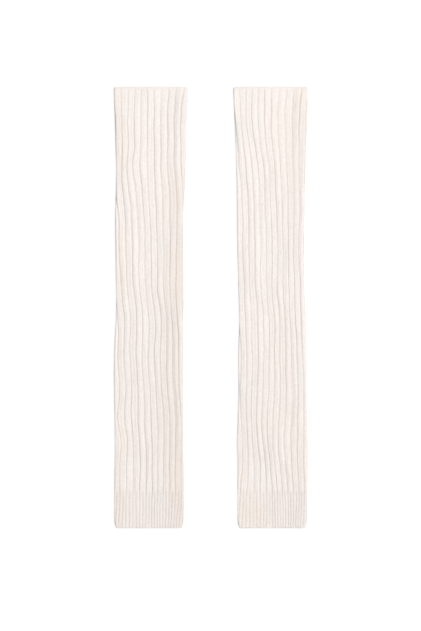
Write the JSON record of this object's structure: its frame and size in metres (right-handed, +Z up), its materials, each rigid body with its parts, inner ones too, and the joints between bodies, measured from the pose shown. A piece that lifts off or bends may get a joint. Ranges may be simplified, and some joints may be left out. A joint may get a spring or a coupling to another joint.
{
  "type": "pair of leg warmers",
  "caption": "Pair of long ribbed knit leg warmers laid flat, each an open tube with wide ribs down the leg and a fine-ribbed ankle cuff.",
  "frame": {"origin": "centre of the pair's outline, on the surface that they lie on", "axes": "+Y towards the open tops, +X to the right seen from above, +Z up from the surface"},
  "size_m": [0.3074, 0.7, 0.0071],
  "materials": {
    "leg_yarn": "soft wide rib knit in ivory, matt with a faint nap",
    "cuff_yarn": "soft fine rib knit in ivory, matt with a faint nap"
  },
  "bodies": {
    "root": {"leg_left": "leg_yarn", "cuff_left": "cuff_yarn", "leg_right": "leg_yarn", "cuff_right": "cuff_yarn"}
  },
  "joints": []
}
